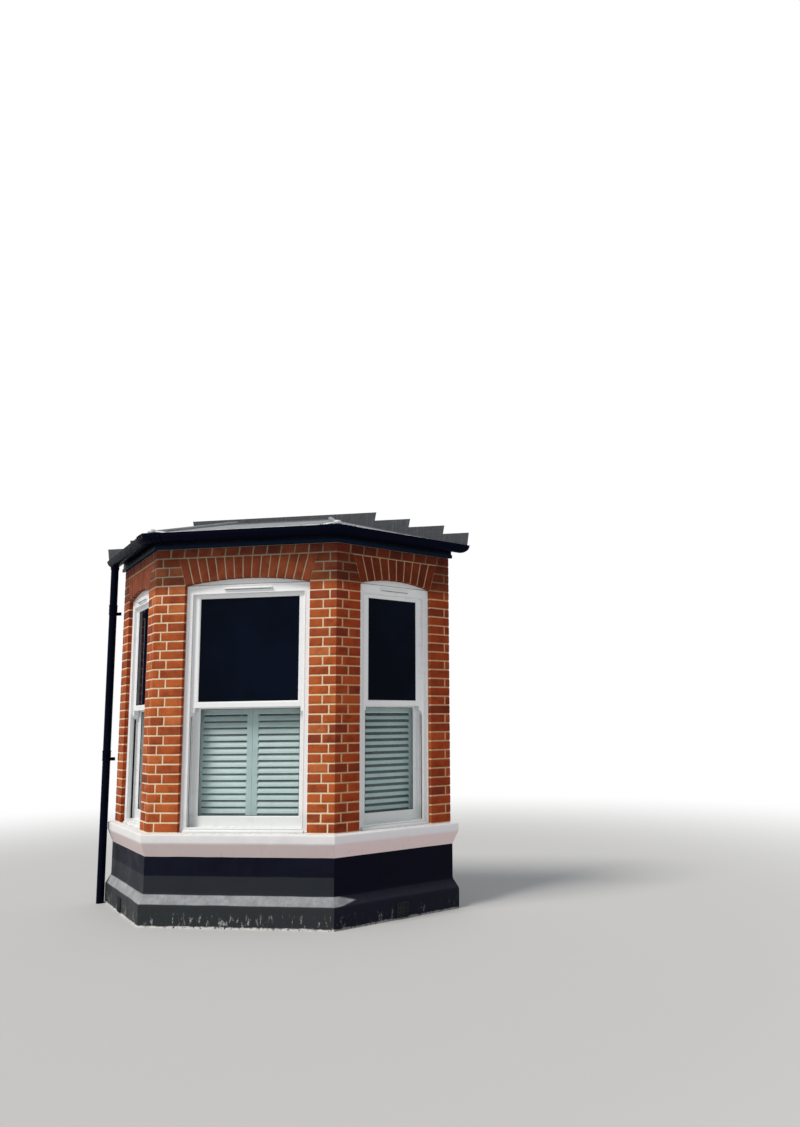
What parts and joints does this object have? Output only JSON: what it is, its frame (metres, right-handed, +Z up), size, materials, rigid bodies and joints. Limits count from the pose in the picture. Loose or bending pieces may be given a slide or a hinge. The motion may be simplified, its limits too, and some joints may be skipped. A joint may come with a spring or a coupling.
{
  "type": "bay window",
  "caption": "Canted brick bay window with sash windows, painted sill and plinth, cambered brick arches and a hipped lead roof.",
  "frame": {"origin": "middle of the bay on the plane of the house wall, at ground level", "axes": "+Z up, +Y into the house at right angles to its wall, +X to the right seen from the street"},
  "size_m": [3.409, 0.8946, 3.4],
  "materials": {
    "render_black": "black painted render",
    "sill_paint": "white painted render",
    "red_brick": "red facing brick with pale joints",
    "arch_brick": "red rubbed brick with fine joints",
    "header_brick": "dark red brick on edge",
    "white_pvc": "white satin plastic",
    "window_glass": "clear sealed glass units",
    "shutter_paint": "grey green painted timber",
    "board_paint": "white painted timber",
    "sawn_timber": "sawn softwood",
    "floor_timber": "waxed softwood boards",
    "fascia_paint": "black gloss paint",
    "black_pvc": "black gloss plastic",
    "roof_lead": "dull grey sheet lead",
    "flashing_lead": "dark weathered sheet lead",
    "plaster": "painted plaster",
    "concrete": "rough concrete"
  },
  "bodies": {
    "root": {"plinth_left": "render_black", "plinth_front": "render_black", "plinth_right": "render_black", "air_vents": "render_black", "sill_left": "sill_paint", "sill_front": "sill_paint", "sill_right": "sill_paint", "pier_left_wall": "red_brick", "pier_left_corner": "red_brick", "pier_right_corner": "red_brick", "pier_right_wall": "red_brick", "arch_left": "arch_brick", "arch_front": "arch_brick", "arch_right": "arch_brick", "header_course_left": "header_brick", "header_course_front": "header_brick", "header_course_right": "header_brick", "frame_left": "white_pvc", "frame_front": "white_pvc", "frame_right": "white_pvc", "upper_sash_left": "white_pvc", "upper_sash_front": "white_pvc", "upper_sash_right": "white_pvc", "lower_sash_left": "white_pvc", "lower_sash_front": "white_pvc", "lower_sash_right": "white_pvc", "glass_left": "window_glass", "glass_front": "window_glass", "glass_right": "window_glass", "shutters_left": "shutter_paint", "shutters_front": "shutter_paint", "shutters_right": "shutter_paint", "window_boards": "board_paint", "wall_plates": "sawn_timber", "fascia": "fascia_paint", "gutter": "black_pvc", "gutter_unions": "black_pvc", "downpipe": "black_pvc", "pipe_clips": "black_pvc", "rafters": "sawn_timber", "roof_boards": "sawn_timber", "lead_left": "roof_lead", "lead_front": "roof_lead", "lead_right": "roof_lead", "hip_rolls": "roof_lead", "flashing": "flashing_lead", "plaster_lining": "plaster", "ceiling": "plaster", "floorboards": "floor_timber", "floor_joists": "sawn_timber", "oversite": "concrete"}
  },
  "joints": []
}
